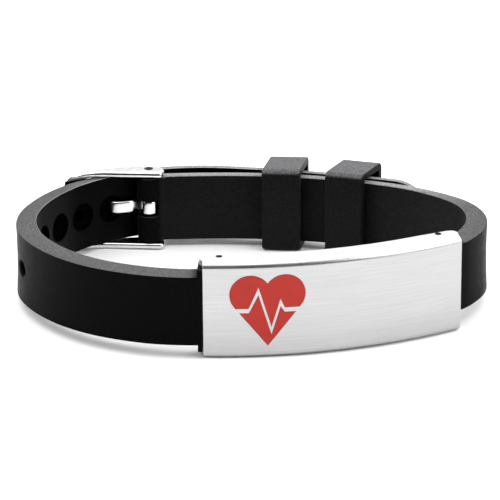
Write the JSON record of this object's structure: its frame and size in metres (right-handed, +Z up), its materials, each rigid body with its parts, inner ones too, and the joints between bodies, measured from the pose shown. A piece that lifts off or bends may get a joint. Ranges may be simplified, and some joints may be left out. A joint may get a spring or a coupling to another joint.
{
  "type": "silicone bracelet with steel plate",
  "caption": "Closed silicone bracelet lying on its edge: a curved steel plate with a red enamel emblem, a two-part black band, a pin buckle and keepers.",
  "frame": {"origin": "the middle of the bracelet's box, on the surface that it lies on", "axes": "+X along the steel plate, towards the short half of the band; +Y from the plate across the wrist opening to the buckle side; +Z up, through the wrist opening, along the band's width"},
  "size_m": [0.0777, 0.054, 0.0169],
  "materials": {
    "silicone": "matte moulded silicone, black",
    "brushed_plate": "brushed lengthwise, edges polished",
    "red_enamel": "smooth red enamel, level with the steel",
    "pin_steel": "plain bright steel",
    "buckle_steel": "polished steel"
  },
  "bodies": {
    "root": {"strap_long": "silicone", "strap_short": "silicone", "keeper_inner": "silicone", "keeper_tip": "silicone", "id_plate": "brushed_plate", "emblem": "red_enamel", "plate_pin_left": "pin_steel", "plate_pin_right": "pin_steel", "buckle_pin": "pin_steel", "buckle_frame": "buckle_steel", "buckle_prong": "buckle_steel"}
  },
  "joints": []
}
